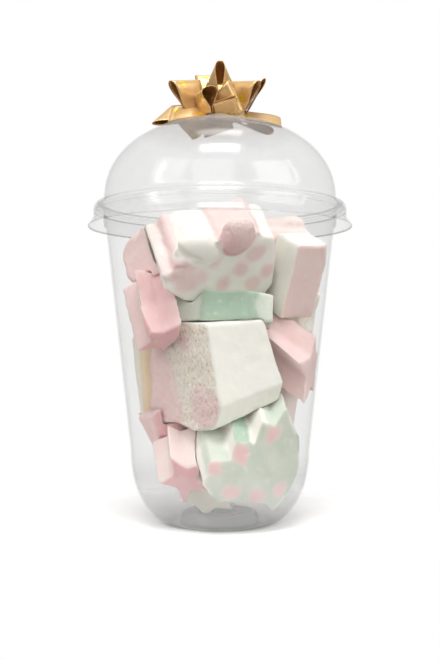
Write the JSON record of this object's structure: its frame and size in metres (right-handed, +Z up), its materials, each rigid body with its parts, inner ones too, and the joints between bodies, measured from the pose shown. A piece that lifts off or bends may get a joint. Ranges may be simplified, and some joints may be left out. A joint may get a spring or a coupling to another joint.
{
  "type": "cup of marshmallows",
  "caption": "Twisted and star-shaped marshmallows in pink, white, mint and lemon, packed in a clear plastic cup with a clear dome lid and a gold ribbon bow on top.",
  "frame": {"origin": "centre of the ring that the cup stands on, at the surface under it", "axes": "+Z up along the cup's axis; -Y towards the front, the side that the picture shows; +X to that side's right"},
  "size_m": [0.1014, 0.1014, 0.1766],
  "materials": {
    "cup_plastic": "clear, glossy",
    "lid_plastic": "clear, glossy",
    "gold_ribbon": "metallised film, glossy",
    "glue_pad": "matt",
    "white_and_pink": "matt, dusted",
    "pink": "matt, dusted",
    "mint": "matt, dusted",
    "lemon": "matt, dusted"
  },
  "bodies": {
    "root": {"cup": "cup_plastic", "lid": "lid_plastic", "bow_pad": "glue_pad", "bow_ribbon": "gold_ribbon", "marshmallow_front": "white_and_pink", "marshmallow_top": "white_and_pink", "marshmallow_mint_low": "mint", "marshmallow_star_low": "pink", "marshmallow_star_left": "pink", "marshmallow_mint_middle": "mint", "marshmallow_right_tall": "white_and_pink", "marshmallow_star_right": "pink", "marshmallow_left_high": "white_and_pink", "marshmallow_lemon_left": "lemon", "marshmallow_pink_left": "pink", "marshmallow_cream_floor": "mint", "marshmallow_right_low": "white_and_pink", "marshmallow_lemon_right": "lemon", "marshmallow_right_back": "white_and_pink", "marshmallow_back_top": "white_and_pink", "marshmallow_back_mint": "mint", "marshmallow_back_star": "pink", "marshmallow_back_white": "white_and_pink", "marshmallow_back_pink": "pink", "marshmallow_back_low": "white_and_pink"}
  },
  "joints": []
}
